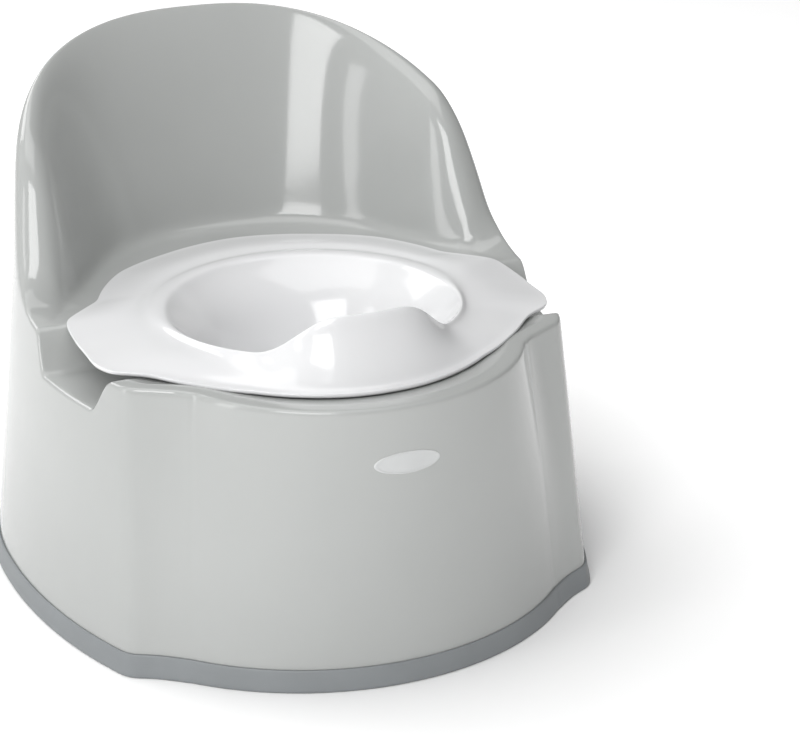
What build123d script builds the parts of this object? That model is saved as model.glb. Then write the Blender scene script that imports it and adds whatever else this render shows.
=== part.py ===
from build123d import *
import math
import os

# A child's potty chair: a one-piece moulded shell with a high wrap-around back, a soft non-slip
# ring round its foot, a lift-out bowl with a seat flange, and a small inlaid plaque.
# Millimetres, +Z up, the sitter faces -Y, origin on the floor at the middle of the footprint.

# ---- overall sizes ----
overall_width = 364.0
overall_depth = 385.0
overall_height = 314.0
shell_wall = 2.8

# ---- non-slip ring round the foot ----
ring_height = 14.0
ring_foot_flare = 2.6
ring_top_flare = 1.4
ring_lip_inside = 7.0
shell_foot_height = 4.0

# ---- outer wall, seen from above: sizes at the foot and at the rim ----
side_draft = 6.0
rear_draft = 0.5
widest_from_front = 217.0
rear_fullness = 0.74
front_lean_at_rim = 7.0
corner_radius = 10.0
corner_in_foot = 26.4
corner_in_rim = 36.4
corner_back_foot = 69.0
corner_back_rim = 101.0
wave_in_foot = 41.4
wave_in_rim = 57.4
wave_back_foot = 62.5
wave_back_rim = 85.0
front_arc_in_foot = 67.4
front_arc_in_rim = 78.4
front_arc_end_foot = 46.0
front_arc_end_rim = 72.0
arc_end_slope = (1.0, 0.9)
corner_front_slope = (1.0, 0.35)
corner_side_slope = (0.24, 1.0)
arc_end_facing = (0.7, 0.7)
wave_facing = (0.5, 0.9)
corner_facing = (1.0, 0.8)

# ---- seat: heights above the floor and distances back from the front ----
rim_height = 171.0
shelf_rise = 3.0
notch_depth = 23.0
notch_front_top = 113.0
notch_front_foot = 121.0
notch_rear_foot = 184.0
notch_rear_top = 196.0
seat_hole_radius = 75.0
seat_hole_from_front = 149.0
hole_lip_rise = 2.0
hole_collar_depth = 8.4
dish_depth = 13.0
dish_lip_width = 7.0
dish_width = 47.0

# ---- back rest ----
back_wall_width = 57.4
back_centre_from_front = 209.0
back_flare_in = 23.4
back_flare_from_front = 186.0
back_flare_turn = 18.0
crest_thickness = 4.5
# the wing's front edge: share of the way back from the hand notch to the crest, share of the way up
wing_edge = ((0.065, 0.007), (0.157, 0.05), (0.244, 0.157), (0.304, 0.329), (0.385, 0.529),
             (0.477, 0.65), (0.618, 0.743), (0.78, 0.836), (0.9, 0.921))

# ---- bowl ----
bowl_wall = 2.6
flange_thickness = 2.6
flange_clearance = 0.4
rim_extra_clearance = 0.4
front_droop = 2.0
front_droop_length = 30.0
cup_clearance = 5.0
cup_foot_height = 66.0
cup_floor_forward = 17.0
cup_floor_in = 34.0
cup_foot_in = 16.0
cup_foot_rise = 12.0
cup_waist_in = 6.0
cup_waist_rise = 42.0
mouth_beyond_hole = 18.0
mouth_rise = 10.0
mouth_back = 8.0
mouth_band = 4.5
guard_foot_step = 1.0
guard_rise = 37.0
guard_half_width = 58.0
guard_lean = 4.0
guard_back = 2.0

# ---- bowl's flange, seen from above ----
ear_in = 34.4
ear_corner = 6.0
ear_corner_length = 8.0
ear_front_back = 2.0
ear_rear_back = 5.0
ear_neck_in = 22.0
flange_front = 35.0
flange_neck_in = 46.0
flange_neck_ahead = 34.0
flange_rear_gap = 31.0
flange_rear_in = 57.0
flange_rear_behind = 62.0
ear_tail_in = 32.0
ear_tail_behind = 20.0

# ---- plaque ----
plaque_width = 41.0
plaque_height = 13.5
plaque_corner = 4.5
plaque_centre_height = 137.0
plaque_depth = 0.9
plaque_proud = 0.4

# ---- working values ----
front_y = -overall_depth / 2
rear_y = overall_depth / 2
hole_y = front_y + seat_hole_from_front
mouth_y = hole_y + mouth_back
shell_half_width = overall_width / 2 - ring_foot_flare
shelf_height = rim_height + shelf_rise
notch_height = rim_height - notch_depth
hole_lip_height = notch_height + hole_lip_rise
mouth_height = rim_height + mouth_rise
guard_height = rim_height + guard_rise
mouth_radius = seat_hole_radius + mouth_beyond_hole
cup_neck_radius = seat_hole_radius - cup_clearance
back_foot_radius = shell_half_width - back_wall_width
overshoot = 1.0
block_top = overall_height + 2 * overshoot
sky = overall_height + 60.0
reach = overall_width


def from_front(distance):
    """Y of a point this far behind the front of the ring."""
    return front_y + distance


def at_level(foot_value, rim_value, level):
    """A size that changes evenly from the floor to the rim, carried on above the rim."""
    return foot_value + (rim_value - foot_value) * level / rim_height


def wall_point(inward, back, facing, inset):
    """A point of the right-hand outer wall, moved in by inset against the way it faces."""
    return (shell_half_width - inward - inset * facing[0], from_front(back + inset * facing[1]))


def outer_outline(level, inset):
    """The plan of the outer wall at one level, drawn in by inset."""
    half = shell_half_width - math.tan(math.radians(side_draft)) * level - inset
    front = from_front(ring_foot_flare + front_lean_at_rim * level / rim_height + inset)
    rear = rear_y - ring_foot_flare - math.tan(math.radians(rear_draft)) * level - inset
    arc_end = wall_point(at_level(front_arc_in_foot, front_arc_in_rim, level),
                         at_level(front_arc_end_foot, front_arc_end_rim, level), arc_end_facing, inset)
    wave = wall_point(at_level(wave_in_foot, wave_in_rim, level),
                      at_level(wave_back_foot, wave_back_rim, level), wave_facing, inset)
    corner = wall_point(at_level(corner_in_foot, corner_in_rim, level),
                        at_level(corner_back_foot, corner_back_rim, level), corner_facing, inset)
    widest = (half, from_front(widest_from_front))
    rear_bend = (half * rear_fullness, widest[1] + (rear - widest[1]) * rear_fullness)
    with BuildSketch(Plane.XY.offset(level)) as outline:
        with BuildLine() as right:
            Spline(arc_end, wave, corner, tangents=(arc_end_slope, corner_front_slope))
            Spline(corner, widest, tangents=(corner_side_slope, (0.0, 1.0)))
            Spline(widest, rear_bend, (0, rear), tangents=((0.0, 1.0), (-1.0, 0.0)))
            mirror(right.line, about=Plane.YZ)
            ThreePointArc((-arc_end[0], arc_end[1]), (0, front), arc_end)
        make_face()
        corners = [v for v in outline.vertices() if math.dist((abs(v.X), v.Y), corner) < 0.01]
        fillet(corners, corner_radius)
    return outline.sketch


def seat_outline(level, inset):
    """The plan of the hollow inside the back rest at one level, let out by inset."""
    rise = (level - shelf_height) / (overall_height - shelf_height)
    half_top = shell_half_width - math.tan(math.radians(side_draft)) * overall_height - crest_thickness
    rear_top = rear_y - ring_foot_flare - crest_thickness - from_front(widest_from_front)
    side = back_foot_radius + (half_top - back_foot_radius) * rise + inset
    depth = back_foot_radius + (rear_top - back_foot_radius) * rise + inset
    centre = from_front(back_centre_from_front + (widest_from_front - back_centre_from_front) * rise)
    flare_x = shell_half_width - back_flare_in + inset
    flare_y = from_front(back_flare_from_front) + (centre - from_front(back_flare_from_front)) * rise
    turn = math.radians(back_flare_turn)
    start = (side * math.cos(turn), centre + depth * math.sin(turn))
    ahead_y = front_y - reach / 4
    with BuildSketch(Plane.XY.offset(level)) as outline:
        with BuildLine() as right:
            Polyline((0, ahead_y), (reach, ahead_y), (reach, flare_y), (flare_x, flare_y), start)
            mirror(right.line, about=Plane.YZ)
            ThreePointArc(start, (0, centre + depth), (-start[0], start[1]))
        make_face()
    return outline.sketch


def side_profile(inset):
    """Everything above the chair seen from the side, let out by inset: rim, hand notch, wing."""
    wing_run = overall_depth - crest_thickness - notch_rear_top
    wing_height = overall_height - shelf_height
    with BuildSketch(Plane.YZ) as above:
        with BuildLine():
            Polyline((front_y - reach / 2, rim_height),
                     (from_front(notch_front_top), rim_height),
                     (from_front(notch_front_foot), notch_height),
                     (from_front(notch_rear_foot), notch_height),
                     (from_front(notch_rear_top), shelf_height),
                     *((from_front(notch_rear_top + wing_run * back), shelf_height + wing_height * up)
                       for back, up in wing_edge),
                     (rear_y - crest_thickness, overall_height),
                     (rear_y + reach / 2, overall_height),
                     (rear_y + reach / 2, sky),
                     (front_y - reach / 2, sky),
                     close=True)
        make_face()
        if inset != 0:
            offset(amount=inset, kind=Kind.INTERSECTION)
    return above.sketch


def seat_funnel(inset, foot_height, foot_radius, top_height, top_radius, turn):
    """A cone about the seat hole's axis, swept through turn degrees, let out by inset."""
    funnel_top = shelf_height + 2 * shelf_rise
    with BuildPart() as funnel:
        with BuildSketch(Plane.XZ.offset(-hole_y)):
            with BuildLine():
                Polyline((0, foot_height - inset),
                         (foot_radius + inset / 2, foot_height - inset),
                         (top_radius + inset / 2, top_height - inset),
                         (top_radius + inset / 2, funnel_top),
                         (0, funnel_top), close=True)
            make_face()
        revolve(axis=Axis((0, hole_y, 0), (0, 0, 1)), revolution_arc=turn)
    return funnel.part


def moulded_form(inset):
    """The chair as one solid block with the seat and back formed in it, all drawn in by inset."""
    lip = seat_funnel(inset, hole_lip_height, seat_hole_radius,
                      shelf_height, seat_hole_radius + shelf_height - hole_lip_height, 360)
    dish = seat_funnel(inset, rim_height - dish_depth, seat_hole_radius + dish_lip_width,
                       rim_height, seat_hole_radius + dish_width, -180)
    with BuildPart() as form:
        add(outer_outline(shell_foot_height, inset))
        add(outer_outline(block_top, inset))
        loft(ruled=True)
        extrude(side_profile(inset), amount=reach, both=True, mode=Mode.SUBTRACT)
        add(seat_outline(shelf_height - inset, inset))
        add(seat_outline(block_top + overshoot, inset))
        loft(ruled=True, mode=Mode.SUBTRACT)
        add(lip, mode=Mode.SUBTRACT)
        add(dish, mode=Mode.SUBTRACT)
    return form.part


outer_form = moulded_form(0.0)
hollow_form = moulded_form(shell_wall)

# ---- plaque: a blank inlay that follows the curve of the front wall ----
with BuildPart() as plaque_blank:
    with BuildSketch(Plane.XZ.offset(-hole_y)):
        with Locations((0, plaque_centre_height)):
            RectangleRounded(plaque_width, plaque_height, plaque_corner)
    extrude(amount=seat_hole_from_front + overshoot)

with BuildPart() as front_plaque:
    add(moulded_form(-plaque_proud))
    add(plaque_blank.part, mode=Mode.INTERSECT)
    add(moulded_form(plaque_depth), mode=Mode.SUBTRACT)

# ---- body shell: one moulding, open underneath, with a recess for the plaque ----
with BuildPart() as body_shell:
    add(outer_form)
    add(hollow_form, mode=Mode.SUBTRACT)
    with BuildSketch(Plane.XY):
        add(outer_outline(shell_foot_height, shell_wall).moved(Location((0, 0, -shell_foot_height))))
    extrude(amount=shell_foot_height + overshoot, mode=Mode.SUBTRACT)
    with Locations((0, hole_y, hole_lip_height)):
        Cylinder(seat_hole_radius, 4 * shell_wall, mode=Mode.SUBTRACT)
    add(front_plaque.part, mode=Mode.SUBTRACT)

# ---- non-slip ring: a soft foot that the wall's lower edge stands in ----
with BuildPart() as non_slip_base_ring:
    add(outer_outline(0.0, -ring_foot_flare))
    add(outer_outline(ring_height, -ring_top_flare))
    loft(ruled=True)
    with BuildSketch(Plane.XY):
        add(outer_outline(0.0, ring_lip_inside))
    extrude(amount=ring_height, mode=Mode.SUBTRACT)
    with BuildSketch(Plane.XY.offset(shell_foot_height)):
        add(outer_outline(shell_foot_height, shell_wall))
    extrude(amount=ring_height, mode=Mode.SUBTRACT)
    add(outer_form, mode=Mode.SUBTRACT)


def cup_form(wall):
    """The bowl's cup up to its flared mouth, as a solid drawn in by wall."""
    floor_y = hole_y - cup_floor_forward
    levels = ((cup_foot_height + wall, cup_neck_radius - cup_floor_in, floor_y),
              (cup_foot_height + cup_foot_rise, cup_neck_radius - cup_foot_in, floor_y + 1.0),
              (cup_foot_height + cup_waist_rise, cup_neck_radius - cup_waist_in, (hole_y + floor_y) / 2),
              (hole_lip_height, cup_neck_radius, hole_y),
              (mouth_height, mouth_radius, mouth_y))
    with BuildPart() as cup:
        for level, radius, centre_y in levels:
            with BuildSketch(Plane.XY.offset(level)):
                with Locations((0, centre_y)):
                    Circle(radius - wall)
        loft(ruled=False)
    return cup.part


def guard_form(foot_level, foot_radius, top_level, top_radius):
    """A ring that stands on the bowl's mouth, as a solid cone."""
    with BuildPart() as cone:
        with BuildSketch(Plane.XY.offset(foot_level)):
            with Locations((0, mouth_y)):
                Circle(foot_radius)
        with BuildSketch(Plane.XY.offset(top_level)):
            with Locations((0, mouth_y + guard_back)):
                Circle(top_radius)
        loft(ruled=True)
    return cone.part


def flange_outline():
    """The seat flange seen from above, with an ear each side over the hand notch."""
    ear_reach = shell_half_width - ear_in
    ear_front = from_front(notch_front_top)
    ear_rear = from_front(notch_rear_top + ear_rear_back)
    rear = from_front(back_centre_from_front - flange_rear_gap) + back_foot_radius
    with BuildSketch() as outline:
        with BuildLine() as edge:
            Spline((0, from_front(flange_front)), (ear_reach - flange_neck_in, ear_front - flange_neck_ahead),
                   (ear_reach - ear_neck_in, ear_front - ear_front_back - overshoot),
                   (ear_reach - ear_corner, ear_front + ear_front_back),
                   tangents=((1.0, 0.0), (1.0, 0.3)))
            Polyline((ear_reach - ear_corner, ear_front + ear_front_back),
                     (ear_reach, ear_front + ear_front_back + ear_corner_length),
                     (ear_reach, ear_rear - ear_corner_length - overshoot),
                     (ear_reach - ear_corner, ear_rear))
            Spline((ear_reach - ear_corner, ear_rear), (ear_reach - ear_tail_in, ear_rear + ear_tail_behind),
                   (ear_reach - flange_rear_in, ear_rear + flange_rear_behind), (0, rear),
                   tangents=((-1.0, 0.4), (-1.0, 0.0)))
            mirror(edge.line, about=Plane.YZ)
        make_face()
    return outline.sketch


# ---- bowl: flange, ears, cup and splash guard in one moulding ----
under_rim = rim_height + flange_clearance + rim_extra_clearance
under_front = rim_height + flange_clearance - front_droop
under_rear = shelf_height + flange_clearance
with BuildPart() as flange_band:
    with BuildSketch(Plane.YZ):
        with BuildLine():
            under = ((front_y, under_front), (from_front(flange_front + front_droop_length), under_rim),
                     (from_front(notch_front_top), under_rim), (from_front(notch_rear_top), under_rear),
                     (rear_y, under_rear))
            over = [(y, z + flange_thickness) for y, z in reversed(under)]
            Polyline(*under, *over, close=True)
        make_face()
    extrude(amount=reach, both=True)
    with BuildSketch():
        add(flange_outline())
    extrude(amount=sky, mode=Mode.INTERSECT)

with BuildPart() as bowl:
    add(flange_band.part)
    add(cup_form(0.0))
    add(guard_form(mouth_height - mouth_band, mouth_radius + guard_foot_step,
                   guard_height, mouth_radius - guard_lean))
    with BuildSketch(Plane.XZ):
        with BuildLine() as guard_edge:
            Spline((0, guard_height), (guard_half_width / 2, (mouth_height + guard_height) / 2),
                   (guard_half_width, mouth_height), tangents=((1.0, 0.0), (1.0, 0.0)))
            Polyline((guard_half_width, mouth_height), (reach, mouth_height), (reach, sky), (0, sky))
            mirror(guard_edge.line, about=Plane.YZ)
        make_face()
    extrude(amount=reach, both=True, mode=Mode.SUBTRACT)
    with BuildSketch(Plane.XY.offset(mouth_height)):
        with Locations((0, hole_y - cup_floor_forward + reach / 2)):
            Rectangle(reach, reach)
    extrude(amount=reach, mode=Mode.SUBTRACT)
    add(cup_form(bowl_wall), mode=Mode.SUBTRACT)
    add(guard_form(mouth_height, mouth_radius - bowl_wall,
                   guard_height + overshoot, mouth_radius - guard_lean - bowl_wall), mode=Mode.SUBTRACT)

body_shell.part.label = "body_shell"
non_slip_base_ring.part.label = "non_slip_base_ring"
front_plaque.part.label = "front_plaque"
bowl.part.label = "bowl"

os.makedirs("parts", exist_ok=True)
export_step(body_shell.part, "parts/body_shell.step")
export_step(non_slip_base_ring.part, "parts/non_slip_base_ring.step")
export_step(front_plaque.part, "parts/front_plaque.step")
export_step(bowl.part, "parts/bowl.step")
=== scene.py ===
import math

import bpy
import numpy as np
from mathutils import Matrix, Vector


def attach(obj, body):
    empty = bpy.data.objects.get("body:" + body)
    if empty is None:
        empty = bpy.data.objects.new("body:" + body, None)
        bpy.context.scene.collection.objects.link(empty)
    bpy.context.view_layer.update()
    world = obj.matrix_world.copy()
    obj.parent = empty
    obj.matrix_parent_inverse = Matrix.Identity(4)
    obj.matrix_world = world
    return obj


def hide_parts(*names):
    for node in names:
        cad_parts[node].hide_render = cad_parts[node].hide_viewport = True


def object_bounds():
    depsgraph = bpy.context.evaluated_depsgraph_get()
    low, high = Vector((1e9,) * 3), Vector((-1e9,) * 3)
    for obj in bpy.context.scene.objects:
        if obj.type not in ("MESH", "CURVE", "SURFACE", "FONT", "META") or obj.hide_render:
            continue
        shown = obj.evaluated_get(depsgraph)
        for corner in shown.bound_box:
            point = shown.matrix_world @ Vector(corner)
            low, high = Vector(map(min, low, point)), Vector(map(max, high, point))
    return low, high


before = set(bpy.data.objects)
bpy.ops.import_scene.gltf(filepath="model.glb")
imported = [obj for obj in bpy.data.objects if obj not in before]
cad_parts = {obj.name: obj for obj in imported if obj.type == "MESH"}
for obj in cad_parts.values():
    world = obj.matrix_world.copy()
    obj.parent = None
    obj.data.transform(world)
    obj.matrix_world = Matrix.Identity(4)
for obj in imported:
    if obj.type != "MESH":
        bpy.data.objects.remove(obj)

# A child's potty chair. Shapes are worked out in millimetres in the frame's axes: +Z up, the sitter
# faces -Y, origin on the floor at the middle of the footprint. Meshes are made in metres.

cad_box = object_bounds()
MM = 0.001

# ---- sizes that the CAD box gives ----
lowest, highest = (np.array(corner) / MM for corner in cad_box)
overall_width, overall_depth = (highest - lowest)[:2]
front_y = -overall_depth / 2
rear_y = overall_depth / 2

# ---- chair: heights above the floor, distances back from the front ----
shell_wall = 2.8
shell_foot = 4.0
ring_height = 14.0
ring_flare = 2.6
ring_lip_inside = 7.0
rim_height = 171.0
shelf_height = 174.0
notch_height = 149.5
hole_radius = 75.0
hole_y = front_y + 149.0
hole_lip_height = 152.0
dish_lip_height = 162.0
widest_y = front_y + 217.0
side_draft = math.tan(math.radians(6.0))
rear_draft = math.tan(math.radians(0.5))
half_width_foot = overall_width / 2 - ring_flare
notch_front = (105.0, 125.0)         # where the hand notch's front slope starts and ends
notch_rear = (180.0, 200.0)          # the same for its rear slope, up to the shelf
lip_round = 22.0                     # radius of the seat's roll down into the hole
collar_depth = 6.0                   # of the short upright wall below that roll

# ---- outer wall seen from above: value at the foot, then its change from the foot to rim height ----
body_front_reach = 262.0             # of the body's ellipse, which the shoulders and the drum cut off
front_fullness = 2.0                 # 2 is an ellipse, more is squarer
rear_fullness = 2.4
shoulder_turn = (27.0, 3.5)          # degrees between the shoulder's front face and the X axis
shoulder_x = (138.0, -14.5)
shoulder_back = (65.8, 21.0)
shoulder_inward = 17.0               # how far in from shoulder_x the slanted face goes on
shoulder_round = 4.5
drum_radius = (166.0, -50.0)
drum_lean = 6.6                      # how far the drum's front leans back by rim height
valley_round = 7.0                   # fillet between drum and shoulder

# ---- sampling of the meshes ----
directions = 800
section_steps = 160
skin_points = 190                    # along the shell's outer skin, in each section
lining_points = 70                   # along its inner skin

# ---- plaque ----
plaque_half_width = 20.3
plaque_half_height = 6.6
plaque_middle = 137.0
plaque_points = 120

# ---- bowl ----
bowl_wall = 2.6
mouth_lip_thinning = 1.6             # how much thinner the wall is at the front of the mouth
ridge_height = 181.5                 # top of the mouth's ridge where there is no guard
mouth_y = hole_y + 8.0
mouth_radius = 91.0
guard_height = 208.0


# ---------------------------------------------------------------- shape helpers

def smoothstep(low, high, value):
    """0 below low, 1 above high, with no corner in slope or curvature between."""
    t = np.clip((value - low) / (high - low), 0.0, 1.0)
    return t * t * t * (t * (6.0 * t - 15.0) + 10.0)


def bump(value, centre, width):
    """1 at the centre, falling away on both sides."""
    return np.exp(-((value - centre) / width) ** 2)


def soft_min(a, b, blend):
    """The smaller of two values, with the corner where they cross rounded over blend."""
    h = np.clip(0.5 + 0.5 * (b - a) / blend, 0.0, 1.0)
    return b + (a - b) * h - blend * h * (1.0 - h)


def soft_max(a, b, blend):
    """The larger of two values, rounded in the same way."""
    return -soft_min(-a, -b, blend)


def bell(spread, step):
    """Weights of a smoothing window, and how many samples it reaches to each side."""
    reach = int(4 * spread / step)
    weights = np.exp(-0.5 * (np.arange(-reach, reach + 1) * step / spread) ** 2)
    return weights / weights.sum(), reach


def smooth_curve(points, spread, low, high, step=0.5):
    """A function through the given points, its corners rounded over about spread."""
    xs = np.arange(low - 4 * spread, high + 4 * spread, step)
    weights, reach = bell(spread, step)
    ys = np.interp(xs, *zip(*points))
    ys = np.convolve(np.pad(ys, reach, mode="edge"), weights, mode="valid")
    return lambda value: np.interp(value, xs, ys)


def line_length(points):
    """Distance along a line at each of its points."""
    return np.concatenate(([0.0], np.cumsum(np.hypot(*np.diff(points, axis=0).T))))


def rounded(points, softness, step=0.5):
    """The line sampled evenly, with its corners rounded over softness, which is given per point."""
    length = line_length(points)
    along = np.arange(0.0, length[-1] + step / 2, step)
    fine = np.column_stack([np.interp(along, length, points[:, k]) for k in (0, 1)])
    spreads = (0.8, 1.6, 3.2, 6.4, 12.8)
    versions = [fine]
    for spread in spreads:
        weights, reach = bell(spread, step)
        ends = np.pad(fine, ((reach, reach), (0, 0)), mode="reflect", reflect_type="odd")
        smoothed = [np.convolve(ends[:, k], weights, mode="valid") for k in (0, 1)]
        versions.append(np.column_stack(smoothed))
    level = np.interp(np.interp(along, length, softness), (0.0,) + spreads, range(len(spreads) + 1))
    lower = np.clip(level.astype(int), 0, len(spreads) - 1)
    share = (level - lower)[:, None]
    stack = np.array(versions)
    rows = np.arange(len(along))
    return stack[lower, rows] * (1.0 - share) + stack[lower + 1, rows] * share


def turning(points):
    """How sharply a line turns at each point, in radians per millimetre."""
    along = np.gradient(points, axis=0)
    heading = np.unwrap(np.arctan2(along[:, 1], along[:, 0]))
    return np.abs(np.gradient(heading)) / (np.hypot(*along.T) + 1e-9)


def respaced(points, count, weight, most):
    """The same line with count points, closer together where it turns."""
    density = 1.0 + weight * np.minimum(turning(points), most)
    density = np.convolve(np.pad(density, 4, mode="edge"), np.full(9, 1 / 9), mode="valid")
    step = np.diff(line_length(points))
    effort = np.concatenate(([0.0], np.cumsum(step * (density[1:] + density[:-1]) / 2)))
    want = np.linspace(0.0, effort[-1], count)
    return np.column_stack([np.interp(want, effort, points[:, k]) for k in (0, 1)])


def drawn_in(points, thickness):
    """The line moved in by thickness, without the stretches that would fold over."""
    along = np.gradient(points, axis=0)
    along /= np.hypot(*along.T)[:, None]
    inner = points + thickness * np.column_stack((along[:, 1], -along[:, 0]))
    other = points[::2]
    gaps = np.hypot(inner[:, None, 0] - other[None, :, 0], inner[:, None, 1] - other[None, :, 1])
    return inner[gaps.min(axis=1) > thickness - 0.12]


def compass():
    """The directions, in radians about an upright axis, in which every skin is sampled."""
    return np.arange(directions) * math.tau / directions


def ring_round(middle_y, angles, radius, z):
    """Points at radius and height z in each direction from an upright axis at middle_y."""
    radius, z = np.broadcast_to(radius, angles.shape), np.broadcast_to(z, angles.shape)
    return np.column_stack((radius * np.cos(angles), middle_y + radius * np.sin(angles), z))


def tube_mesh(name, rings):
    """A closed skin from rings[i][j]: both the ring number i and the place j close on themselves."""
    rings = np.asarray(rings)
    rows, columns = rings.shape[:2]
    i, j = np.meshgrid(np.arange(rows), np.arange(columns), indexing="ij")
    next_i, next_j = (i + 1) % rows, (j + 1) % columns
    corners = (i * columns + j, i * columns + next_j, next_i * columns + next_j, next_i * columns + j)
    faces = np.stack([c.ravel() for c in corners], axis=1)
    return new_piece(name, rings.reshape(-1, 3), faces.tolist())


def capped_mesh(name, rings):
    """A closed skin from a stack of rings, with a middle point closing the first and the last."""
    rings = np.asarray(rings)
    rows, columns = rings.shape[:2]
    i, j = np.meshgrid(np.arange(rows - 1), np.arange(columns), indexing="ij")
    next_j = (j + 1) % columns
    corners = (i * columns + j, (i + 1) * columns + j, (i + 1) * columns + next_j, i * columns + next_j)
    faces = np.stack([c.ravel() for c in corners], axis=1).tolist()
    points = np.vstack((rings.reshape(-1, 3), rings[0].mean(axis=0), rings[-1].mean(axis=0)))
    first, last = rows * columns, rows * columns + 1
    top = (rows - 1) * columns
    faces += [[first, k, (k + 1) % columns] for k in range(columns)]
    faces += [[last, top + (k + 1) % columns, top + k] for k in range(columns)]
    return new_piece(name, points, faces)


def new_piece(name, points, faces):
    """A smooth-shaded mesh object from points in millimetres."""
    mesh = bpy.data.meshes.new(name)
    mesh.from_pydata((points * MM).tolist(), [], faces)
    mesh.validate()
    mesh.shade_smooth()
    piece = bpy.data.objects.new(name, mesh)
    bpy.context.scene.collection.objects.link(piece)
    return piece


# ---------------------------------------------------------------- the chair's outer wall

def wall_distance(x, y, z):
    """About how far outside the outer wall a point is, seen from above at height z."""
    up = z / rim_height
    half = half_width_foot - side_draft * z
    ahead = y < widest_y
    rear_reach = rear_y - ring_flare - rear_draft * z - widest_y
    reach = np.where(ahead, body_front_reach * half / half_width_foot, rear_reach)
    fullness = np.where(ahead, front_fullness, rear_fullness)
    across, along = np.abs(x / half), np.abs((y - widest_y) / reach)
    spread = (across ** fullness + along ** fullness) ** (1 / fullness)
    spread = np.maximum(spread, 1e-6)
    barrel = (spread - 1.0) * np.hypot(x, y - widest_y) / spread
    turn = np.radians(shoulder_turn[0] + shoulder_turn[1] * up)
    corner_x = shoulder_x[0] + shoulder_x[1] * up
    corner_y = front_y + shoulder_back[0] + shoulder_back[1] * up
    side = np.maximum(np.abs(x), corner_x - shoulder_inward)
    shoulder = (side - corner_x) * np.sin(turn) - (y - corner_y) * np.cos(turn)
    body = soft_max(barrel, shoulder, shoulder_round)
    radius = drum_radius[0] + drum_radius[1] * up
    drum_front = front_y + ring_flare + drum_lean * up
    drum = np.hypot(x, y - drum_front - radius) - radius
    return soft_min(body, drum, valley_round)


def wall_radius(angle, z, outset=0.0):
    """From the seat hole's axis out to the outer wall, in the direction angle, at height z."""
    angle, z = np.broadcast_arrays(angle, z)
    near = np.full(angle.shape, 60.0)
    far = np.full(angle.shape, 300.0)
    for _ in range(24):
        middle = (near + far) / 2
        outside = wall_distance(middle * np.cos(angle), hole_y + middle * np.sin(angle), z) > outset
        far = np.where(outside, middle, far)
        near = np.where(outside, near, middle)
    return (near + far) / 2


# the wing's top edge: back from the front, height above the shelf
wing_points = ((197.0, 0.0), (208.0, 1.0), (225.0, 7.0), (241.0, 22.0), (252.0, 46.0), (267.0, 74.0),
               (284.0, 92.0), (310.0, 105.0), (340.0, 119.5), (362.0, 130.8), (384.0, 141.8))
wing_rise = smooth_curve(wing_points, 5.0, 190.0, 385.0)


def top_edge_height(y):
    """Height of the wall's top edge: drum rim, hand notch, shelf, then the wing up to the crest."""
    back = y - front_y
    edge = rim_height + (notch_height - rim_height) * smoothstep(*notch_front, back)
    edge = edge + (shelf_height - notch_height) * smoothstep(*notch_rear, back)
    return edge + wing_rise(back)


# the crease where the back rest rises from the shelf: out from the middle, back from the front
crease_points = ((156.0, 188.0), (152.0, 197.0), (145.0, 207.0), (131.0, 228.0), (117.0, 246.0),
                 (108.0, 262.0), (97.0, 281.0), (71.0, 312.0), (45.0, 326.0), (0.0, 333.0))
crease_polar = [(math.degrees(math.atan2(front_y + back - hole_y, out)),
                 math.hypot(out, front_y + back - hole_y)) for out, back in crease_points]
crease_polar += [(180.0 - turn, radius) for turn, radius in reversed(crease_polar[:-1])]
crease_radius = smooth_curve(crease_polar, 6.0, 0.0, 180.0, 0.25)


def seat_height(x, y, out):
    """The seat's surface inside the crease, where out is the radius of the wall's top edge."""
    side = np.abs(x)
    r = np.hypot(x, y - hole_y)
    back = y - front_y
    # the drum's top, dished down towards the hole
    t = np.clip((r - hole_radius - 3.0) / np.maximum(out - hole_radius - 13.0, 10.0), 0.0, 1.0)
    dish = dish_lip_height + (rim_height - dish_lip_height) * (0.75 * t + 0.25 * t ** 2)
    # the channel from the hand notch runs in behind the drum's top, which reaches further back inside
    drum_edge = notch_front[0] + 1.0 + 29.0 * (1.0 - smoothstep(70.0, 142.0, side))
    ahead = smoothstep(drum_edge, drum_edge + 18.0, back)
    # the shelf rises behind the channel, a little further forward beside the hole
    shelf_edge = notch_rear[0] - 8.0 * bump(side, 72.0, 22.0)
    behind = smoothstep(shelf_edge, shelf_edge + notch_rear[1] - notch_rear[0], back)
    surface = dish + (notch_height - dish) * ahead + (shelf_height - notch_height) * behind
    # the roll down into the hole
    inward = np.clip(hole_radius + lip_round - r, 0.0, lip_round)
    beyond = np.clip(r - hole_radius - lip_round, 0.0, None)
    lip = hole_lip_height + np.sqrt(lip_round ** 2 - inward ** 2) + 0.8 * beyond
    return soft_min(surface, lip, 4.0)


def shell_sections(angles):
    """The outer skin cut by half planes from the hole's axis: lines of radius and height."""
    tops = np.full(angles.shape, rim_height)
    for _ in range(60):
        reach = wall_radius(angles, tops)
        tops = 0.5 * tops + 0.5 * top_edge_height(hole_y + reach * np.sin(angles))
    outs = wall_radius(angles, tops)
    steps = np.linspace(0.0, 1.0, section_steps)
    downs = shell_foot + (tops[:, None] - shell_foot) * (1.0 - steps[None, 1:])
    down_radii = wall_radius(angles[:, None], downs)
    creases = np.where(np.sin(angles) > 0.1, crease_radius(np.degrees(angles) % 360.0), 999.0)
    creases = soft_min(creases, outs - 0.5, 4.0)
    return [shell_section(*values) for values in zip(angles, tops, outs, creases, down_radii, downs)]


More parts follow.
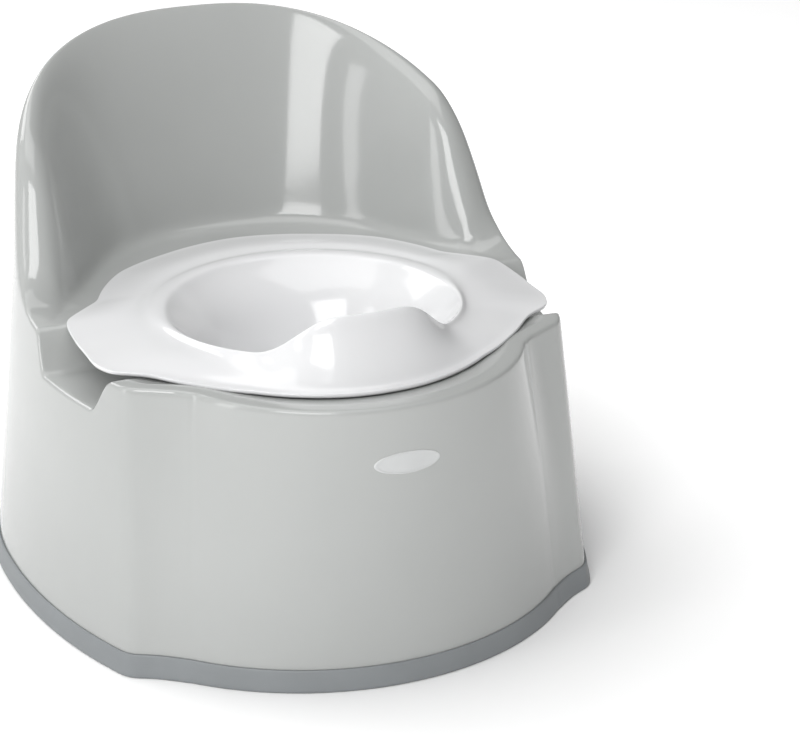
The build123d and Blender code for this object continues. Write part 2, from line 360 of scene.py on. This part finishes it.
def shell_section(angle, top, out, crease, down_r, down_z):
    """One section of the outer skin: up the hole's collar, over the seat, up the wing, down outside."""
    steps = np.linspace(0.0, 1.0, section_steps)
    roll_steps, roll_width = 60, 12.0
    roll_end = hole_radius + roll_width
    roll_r = hole_radius + roll_width * steps[:roll_steps] / steps[roll_steps - 1]
    seat_r = np.concatenate((roll_r, roll_end + (crease - roll_end) * steps[1:]))
    seat_z = seat_height(seat_r * math.cos(angle), hole_y + seat_r * math.sin(angle), out)
    rear = smoothstep(30.0, 75.0, math.degrees(math.asin(max(0.0, math.sin(angle)))))
    t = steps[1:]
    winged = smoothstep(1.0, 34.0, top - shelf_height)
    wall_r = crease + (out - crease) * t
    steepness = 1.0 + winged * (1.9 - 1.75 * rear)
    wall_z = seat_z[-1] + (top - seat_z[-1]) * (1.0 - (1.0 - t) ** steepness)
    collar = np.array([[hole_radius, seat_z[0] - collar_depth],
                       [hole_radius, seat_z[0] - collar_depth / 2]])
    line = np.vstack((collar, np.column_stack((seat_r, seat_z)), np.column_stack((wall_r, wall_z)),
                      np.column_stack((down_r, down_z))))
    # how far each corner is rounded: a thin edge at drum and rear, a wide roll along the wings
    length = line_length(line)
    crease_at = length[len(collar) + len(seat_r) - 1]
    crest_at = length[len(collar) + len(seat_r) + len(wall_r) - 1]
    crest_softness = 1.9 + winged * (7.2 - 7.6 * rear)
    crest_width = 9.0 + 16.0 * winged * (1.0 - rear)
    softness = 0.8 + (crest_softness - 0.8) * bump(length, crest_at, crest_width)
    softness = np.maximum(softness, 6.0 * winged * bump(length, crease_at, 20.0))
    softness = softness * smoothstep(-1.0, 4.0, length) * smoothstep(-1.0, 4.0, length[-1] - length)
    # rounding lowers the crest, so it is raised by what is missing, and once more by the rest
    near_crest = bump(length, crest_at, 30.0) * winged
    for _ in range(2):
        shortfall = top - rounded(line, softness)[:, 1].max()
        line[:, 1] += shortfall * near_crest
    return rounded(line, softness)


def make_shell():
    """The shell's outer skin and, one wall thickness inside it, its inner skin."""
    angles = compass()
    skins = []
    for angle, line in zip(angles, shell_sections(angles)):
        outer = respaced(line, skin_points, 22.0, 0.6)
        inner = respaced(drawn_in(line, shell_wall), lining_points, 10.0, 0.3)
        section = np.vstack((outer, inner[::-1]))
        skins.append(np.column_stack((section[:, 0] * math.cos(angle),
                                      hole_y + section[:, 0] * math.sin(angle), section[:, 1])))
    return tube_mesh("shell_skin", skins)


shell = make_shell()
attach(shell, "chair")
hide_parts("body_shell")


# ---------------------------------------------------------------- the non-slip ring

def make_ring():
    """A band that the shell's foot stands in, flared at the floor, with a lip turned in below."""
    top, lip = ring_height, -ring_lip_inside
    # its section: out from the shell's outer wall, height
    section = ((0.1, top), (0.9, top), (1.3, top - 0.3), (1.45, top - 0.9), (1.7, 9.0), (2.1, 4.5),
               (2.45, 2.4), (2.35, 1.1), (1.8, 0.3), (0.9, 0.0), (-3.0, 0.0), (lip + 0.6, 0.0),
               (lip, 0.6), (lip, 3.6), (lip + 1.0, shell_foot), (-shell_wall, shell_foot),
               (0.1, shell_foot), (0.1, 9.0))
    angles = compass()
    rings = []
    for outset, z in section:
        radius = wall_radius(angles, np.full(directions, z), outset)
        rings.append(ring_round(hole_y, angles, radius, z))
    return tube_mesh("base_ring_band", np.array(rings).transpose(1, 0, 2))


ring = make_ring()
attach(ring, "chair")
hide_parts("non_slip_base_ring")


# ---------------------------------------------------------------- the plaque

def front_wall_y(x, z):
    """Y of the front of the outer wall at a place seen from the front."""
    near, far = front_y - 5.0, hole_y
    for _ in range(30):
        middle = (near + far) / 2
        outside = wall_distance(x, middle, z) > 0.0
        near, far = (middle, far) if outside else (near, middle)
    return (near + far) / 2


def make_plaque():
    """A blank oval that follows the drum's front, with a low rim round a flat field."""
    turns = np.arange(plaque_points) * math.tau / plaque_points
    rim = np.column_stack((plaque_half_width * np.cos(turns), plaque_half_height * np.sin(turns)))
    # share of the oval's size, and how far it stands out from the wall
    steps = ((0.97, -1.0), (1.0, -0.2), (0.996, 0.18), (0.98, 0.36), (0.95, 0.4), (0.9, 0.36),
             (0.87, 0.15), (0.85, 0.1), (0.6, 0.1), (0.3, 0.1), (0.02, 0.1))
    rings = []
    for share, proud in steps:
        ring_points = []
        for x, up in rim * share:
            z = plaque_middle + up
            ring_points.append((x, front_wall_y(x, z) - proud, z))
        rings.append(ring_points)
    return capped_mesh("plaque_inlay", np.array(rings))


plaque = make_plaque()
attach(plaque, "chair")
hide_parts("front_plaque")


# ---------------------------------------------------------------- the bowl

# the flange's edge seen from above: out from the middle, back from the front, height above floor
flange_points = ((0.0, 35.0, 171.2), (20.0, 36.5, 171.2), (40.0, 42.5, 171.4), (72.0, 61.5, 171.8),
                 (96.0, 79.5, 172.4), (114.0, 97.5, 173.2), (121.0, 105.5, 173.6),
                 (128.0, 109.5, 173.8), (139.0, 115.5, 174.0), (144.6, 128.0, 174.2),
                 (144.6, 150.0, 174.4), (144.6, 175.0, 175.0), (142.0, 199.0, 176.2),
                 (130.0, 209.0, 177.0), (115.5, 221.0, 177.2), (104.5, 243.0, 177.2),
                 (87.0, 266.0, 177.2), (53.0, 286.0, 177.2), (15.0, 298.5, 177.2), (0.0, 300.0, 177.2))


def flange_edge(angles):
    """Radius from the mouth's middle, and height, of the flange's edge in each direction."""
    spots = [(math.degrees(math.atan2(front_y + back - mouth_y, out)),
              math.hypot(out, front_y + back - mouth_y), z) for out, back, z in flange_points]
    spots += [(180.0 - turn, radius, z) for turn, radius, z in reversed(spots[1:-1])]
    turns = (np.degrees(angles) + 90.0) % 360.0 - 90.0
    radius = smooth_curve([(t, r) for t, r, _ in spots], 1.6, -90.0, 270.0, 0.1)
    height = smooth_curve([(t, z) for t, _, z in spots], 4.0, -90.0, 270.0, 0.1)
    return radius(turns), height(turns)


def refined(rings, times):
    """Cubic B-spline refinement of a stack of rings, which keeps its first and last ring."""
    for _ in range(times):
        middles = (rings[:-1] + rings[1:]) / 2
        knots = rings.copy()
        knots[1:-1] = (rings[:-2] + 6.0 * rings[1:-1] + rings[2:]) / 8
        woven = np.empty((len(rings) * 2 - 1,) + rings.shape[1:])
        woven[0::2] = knots
        woven[1::2] = middles
        rings = woven
    return rings


# the cup's inside, from the middle of its floor up: radius, height, how far forward of the mouth
cup_rings = ((3.0, 68.6, 25.0), (15.0, 68.8, 25.0), (27.0, 70.5, 25.0), (38.0, 75.0, 24.5),
             (47.5, 84.0, 23.5), (54.5, 98.0, 21.0), (60.5, 119.0, 16.0), (65.5, 140.0, 11.0),
             (69.5, 155.0, 8.0), (75.0, 166.0, 5.0))


def mouth_and_flange(angles, guard, ridge, ridge_r, ridge_z):
    """Radius and height of each ring from inside the mouth's ridge out to the flange's edge."""
    edge_r, edge_z = flange_edge(angles)
    gap = edge_r - ridge_r
    soft = 1.0 - ridge
    inside_drop = 8.5 * ridge + 4.5 * soft + 12.0 * guard
    return ((ridge_r - 8.0 + 1.0 * soft - 2.0 * guard, ridge_z - inside_drop),
            (ridge_r - 2.2 - 2.0 * soft, ridge_z - 2.2 * ridge - 1.2 * soft - 2.0 * guard),
            (ridge_r - 0.6 - 1.0 * soft, ridge_z - 0.1),
            (ridge_r + 0.8 + 2.0 * soft, ridge_z - 0.1),
            (ridge_r + 2.2 + 4.0 * soft, ridge_z - 1.9 * ridge - 0.6 * soft - 1.2 * guard),
            (ridge_r + 5.0 + 6.0 * soft - 1.0 * guard, ridge_z - 3.0 * ridge - 1.8 * soft - 7.0 * guard),
            (edge_r - 0.62 * gap, edge_z + 4.2 + 12.0 * guard),
            (edge_r - 0.32 * gap, edge_z + 2.0 + 3.5 * guard),
            (edge_r - 5.0, edge_z + 0.25),
            (edge_r - 1.6, edge_z),
            (edge_r - 0.5, edge_z - 0.15))


def make_bowl():
    """The bowl's upper skin, and its lower skin one wall thickness away, joined round the flange."""
    angles = compass()
    facing = np.degrees(np.arccos(np.clip(-np.sin(angles), -1.0, 1.0)))
    guard = 0.9 * (1.0 - smoothstep(8.0, 45.0, facing)) + 0.1 * (1.0 - smoothstep(0.0, 100.0, facing))
    ridge = 1.0 - smoothstep(62.0, 112.0, facing)
    ridge_z = ridge_height + (guard_height - 181.0) * guard
    ridge_r = mouth_radius + 5.0 * guard
    top = [ring_round(mouth_y - forward, angles, radius, z) for radius, z, forward in cup_rings]
    top += [ring_round(mouth_y, angles, radius, z)
            for radius, z in mouth_and_flange(angles, guard, ridge, ridge_r, ridge_z)]
    times_refined = 3
    top = refined(np.array(top), times_refined)
    down = np.gradient(top, axis=0)
    around = (np.roll(top, -1, axis=1) - np.roll(top, 1, axis=1)) / 2
    normal = np.cross(down, around)
    normal /= np.linalg.norm(normal, axis=2)[:, :, None]
    mouth_ring = (len(cup_rings) + 2.5) * 2 ** times_refined
    thin = bump(np.arange(len(top)), mouth_ring, 14.0)[:, None] * ridge[None, :]
    wall = bowl_wall - mouth_lip_thinning * thin
    under = top - normal * wall[:, :, None] * np.sign(normal[4, 0, 2])
    lip = (top[-1:] + under[-1:]) / 2
    lip[:, :, 0] += 0.5 * np.cos(angles)
    lip[:, :, 1] += 0.5 * np.sin(angles)
    return capped_mesh("bowl_skin", np.concatenate((top, lip, under[::-1])))


bowl = make_bowl()
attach(bowl, "potty_bowl")
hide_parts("bowl")


# ---------------------------------------------------------------- materials

def new_material(name, colour, roughness, **sockets):
    """A material whose constants sit on the shader's own sockets."""
    material = bpy.data.materials.new(name)
    material.use_nodes = True
    shader = material.node_tree.nodes["Principled BSDF"]
    shader.inputs["Base Color"].default_value = (*colour, 1.0)
    shader.inputs["Roughness"].default_value = roughness
    for label, value in sockets.items():
        shader.inputs[label.replace("_", " ")].default_value = value
    return material, shader


def add_mottle(material, shader, dark, light, scale, low, high):
    """Colour that varies a little from place to place, and roughness with it."""
    tree = material.node_tree
    place = tree.nodes.new("ShaderNodeTexCoord")
    cloud = tree.nodes.new("ShaderNodeTexNoise")
    cloud.inputs["Scale"].default_value = scale
    cloud.inputs["Detail"].default_value = 3.0
    tree.links.new(place.outputs["Object"], cloud.inputs["Vector"])
    shade = tree.nodes.new("ShaderNodeValToRGB")
    shade.color_ramp.elements[0].position = 0.35
    shade.color_ramp.elements[0].color = (*dark, 1.0)
    shade.color_ramp.elements[1].position = 0.65
    shade.color_ramp.elements[1].color = (*light, 1.0)
    tree.links.new(cloud.outputs["Fac"], shade.inputs["Fac"])
    tree.links.new(shade.outputs["Color"], shader.inputs["Base Color"])
    gloss = tree.nodes.new("ShaderNodeMapRange")
    gloss.inputs["To Min"].default_value = low
    gloss.inputs["To Max"].default_value = high
    tree.links.new(cloud.outputs["Fac"], gloss.inputs["Value"])
    tree.links.new(gloss.outputs["Result"], shader.inputs["Roughness"])


def add_texture_bump(material, shader, scale, strength, distance):
    """A fine moulded grain."""
    tree = material.node_tree
    place = tree.nodes.new("ShaderNodeTexCoord")
    grain = tree.nodes.new("ShaderNodeTexNoise")
    grain.inputs["Scale"].default_value = scale
    grain.inputs["Detail"].default_value = 2.0
    tree.links.new(place.outputs["Object"], grain.inputs["Vector"])
    lift = tree.nodes.new("ShaderNodeBump")
    lift.inputs["Strength"].default_value = strength
    lift.inputs["Distance"].default_value = distance
    tree.links.new(grain.outputs["Fac"], lift.inputs["Height"])
    tree.links.new(lift.outputs["Normal"], shader.inputs["Normal"])


shell_plastic, shader = new_material("glossy_grey_plastic", (0.4, 0.41, 0.402), 0.12,
                                     Coat_Weight=0.25, Coat_Roughness=0.08, IOR=1.49)
add_mottle(shell_plastic, shader, (0.394, 0.404, 0.396), (0.408, 0.418, 0.41), 9.0, 0.1, 0.15)
add_texture_bump(shell_plastic, shader, 260.0, 0.06, 0.0004)
shell.data.materials.append(shell_plastic)

ring_rubber, shader = new_material("satin_grey_rubber", (0.225, 0.24, 0.248), 0.45, IOR=1.5)
add_mottle(ring_rubber, shader, (0.218, 0.232, 0.24), (0.232, 0.247, 0.256), 30.0, 0.4, 0.5)
add_texture_bump(ring_rubber, shader, 1400.0, 0.2, 0.0003)
ring.data.materials.append(ring_rubber)

plaque_plastic, shader = new_material("pale_plaque_plastic", (0.56, 0.57, 0.57), 0.3, IOR=1.49)
add_mottle(plaque_plastic, shader, (0.55, 0.56, 0.56), (0.57, 0.58, 0.58), 60.0, 0.28, 0.34)
add_texture_bump(plaque_plastic, shader, 900.0, 0.08, 0.0003)
plaque.data.materials.append(plaque_plastic)

bowl_plastic, shader = new_material("glossy_white_plastic", (0.72, 0.722, 0.73), 0.13, IOR=1.49,
                                    Coat_Weight=0.2, Coat_Roughness=0.06)
add_mottle(bowl_plastic, shader, (0.712, 0.715, 0.724), (0.73, 0.732, 0.738), 12.0, 0.11, 0.16)
add_texture_bump(bowl_plastic, shader, 300.0, 0.05, 0.0004)
bowl.data.materials.append(bowl_plastic)


# ---------------------------------------------------------------- floor, light, camera

def make_floor():
    """A wide pale floor, which glows a little away from the chair so that it stays near white."""
    mesh = bpy.data.meshes.new("floor")
    far = 6.0
    mesh.from_pydata([(-far, -far, 0.0), (far, -far, 0.0), (far, far, 0.0), (-far, far, 0.0)],
                     [], [(0, 1, 2, 3)])
    floor = bpy.data.objects.new("floor", mesh)
    bpy.context.scene.collection.objects.link(floor)
    material, shader = new_material("pale_floor", (0.94, 0.94, 0.94), 0.6, Specular_IOR_Level=0.15)
    shader.inputs["Emission Color"].default_value = (1.0, 1.0, 1.0, 1.0)
    tree = material.node_tree
    place = tree.nodes.new("ShaderNodeNewGeometry")
    away = tree.nodes.new("ShaderNodeVectorMath")
    away.operation = "LENGTH"
    tree.links.new(place.outputs["Position"], away.inputs[0])
    glow = tree.nodes.new("ShaderNodeMapRange")
    glow.inputs["From Min"].default_value = 0.19
    glow.inputs["From Max"].default_value = 0.42
    glow.inputs["To Max"].default_value = 0.33
    tree.links.new(away.outputs["Value"], glow.inputs["Value"])
    tree.links.new(glow.outputs["Result"], shader.inputs["Emission Strength"])
    floor.data.materials.append(material)
    return floor


make_floor()


def add_area_light(name, place, aim, size, power):
    """A white rectangular lamp at a place, facing aim, with its power in watts."""
    lamp = bpy.data.lights.new(name, "AREA")
    lamp.shape = "RECTANGLE"
    lamp.size, lamp.size_y = size
    lamp.energy = power
    lamp.color = (1.0, 1.0, 1.0)
    holder = bpy.data.objects.new(name, lamp)
    holder.location = place
    holder.rotation_euler = (Vector(aim) - Vector(place)).to_track_quat("-Z", "Y").to_euler()
    bpy.context.scene.collection.objects.link(holder)


add_area_light("key_left", (-1.25, -1.7, 1.6), (0.0, 0.0, 0.15), (1.3, 1.3), 32.0)
add_area_light("side_left", (-2.0, -0.4, 0.7), (0.0, 0.0, 0.15), (0.4, 1.4), 5.0)
add_area_light("top_soft", (-0.1, 0.1, 2.2), (0.0, 0.0, 0.1), (1.9, 1.9), 20.0)
add_area_light("back_top", (-0.8, 1.5, 1.6), (0.0, -0.1, 0.15), (1.3, 1.0), 14.0)


def make_world():
    """Soft studio surroundings: lighter on the left than on the right."""
    world = bpy.data.worlds.new("studio")
    world.use_nodes = True
    tree = world.node_tree
    place = tree.nodes.new("ShaderNodeTexCoord")
    apart = tree.nodes.new("ShaderNodeSeparateXYZ")
    tree.links.new(place.outputs["Generated"], apart.inputs["Vector"])
    fade = tree.nodes.new("ShaderNodeMapRange")
    fade.inputs["From Min"].default_value = -0.8
    fade.inputs["From Max"].default_value = 0.8
    fade.inputs["To Min"].default_value = 0.5
    fade.inputs["To Max"].default_value = 0.16
    tree.links.new(apart.outputs["X"], fade.inputs["Value"])
    surround = tree.nodes["Background"]
    surround.inputs["Color"].default_value = (1.0, 1.0, 1.0, 1.0)
    tree.links.new(fade.outputs["Result"], surround.inputs["Strength"])
    backdrop = tree.nodes.new("ShaderNodeBackground")
    backdrop.inputs["Color"].default_value = (1.0, 1.0, 1.0, 1.0)
    backdrop.inputs["Strength"].default_value = 1.0
    rays = tree.nodes.new("ShaderNodeLightPath")
    choice = tree.nodes.new("ShaderNodeMixShader")
    tree.links.new(rays.outputs["Is Camera Ray"], choice.inputs["Fac"])
    tree.links.new(surround.outputs["Background"], choice.inputs[1])
    tree.links.new(backdrop.outputs["Background"], choice.inputs[2])
    tree.links.new(choice.outputs["Shader"], tree.nodes["World Output"].inputs["Surface"])
    bpy.context.scene.world = world


make_world()

camera_data = bpy.data.cameras.new("camera")
camera_data.sensor_width = 36.0
camera_data.lens = 114.75
camera = bpy.data.objects.new("camera", camera_data)
camera_place = Vector((-0.516923, -1.385501, 0.724385))
camera_aim = Vector((0.36297559, 0.85164597, -0.37808447))
camera.location = camera_place
camera.rotation_euler = camera_aim.to_track_quat("-Z", "Y").to_euler()
bpy.context.scene.collection.objects.link(camera)
bpy.context.scene.camera = camera
bpy.context.scene.view_settings.view_transform = "Standard"
